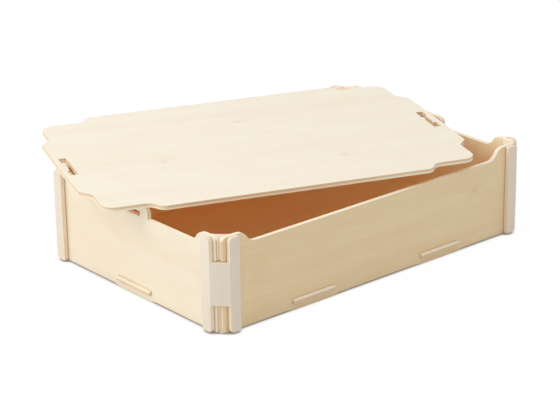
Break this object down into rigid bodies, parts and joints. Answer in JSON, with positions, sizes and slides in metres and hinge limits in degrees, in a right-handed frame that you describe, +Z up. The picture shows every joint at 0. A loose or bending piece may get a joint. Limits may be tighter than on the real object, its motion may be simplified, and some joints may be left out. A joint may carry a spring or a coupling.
{
  "type": "slotted plywood tool box with lift-off lid",
  "caption": "Shallow rectangular plywood box, slotted together and locked at the corners by pale moulded-edge pieces, with a loose flat lid lying askew across it.",
  "frame": {"origin": "middle of the floor panel's upper face, on which the contents lie; the feet stand 12.5 mm lower", "axes": "+X along the box to its right end, +Y to its back, +Z up"},
  "size_m": [0.4728, 0.3896, 0.108],
  "materials": {
    "wall_ply": "bare sanded poplar plywood, three plies showing at the edges",
    "floor_ply": "bare sanded poplar plywood",
    "lid_ply": "bare sanded poplar plywood, three plies showing at the edges",
    "corner_board": "off-white faced board with tan cut edges"
  },
  "bodies": {
    "box": {"front_wall": "wall_ply", "back_wall": "wall_ply", "left_wall": "wall_ply", "right_wall": "wall_ply", "floor_panel": "floor_ply", "corner_front_left": "corner_board", "corner_front_right": "corner_board", "corner_back_right": "corner_board", "corner_back_left": "corner_board"},
    "lid": {"lid": "lid_ply"}
  },
  "joints": [
    {"name": "lid_lift", "type": "slide", "parent": "box", "child": "lid", "axis": [0, 0, 1], "range_m": [0, 0.12]}
  ]
}
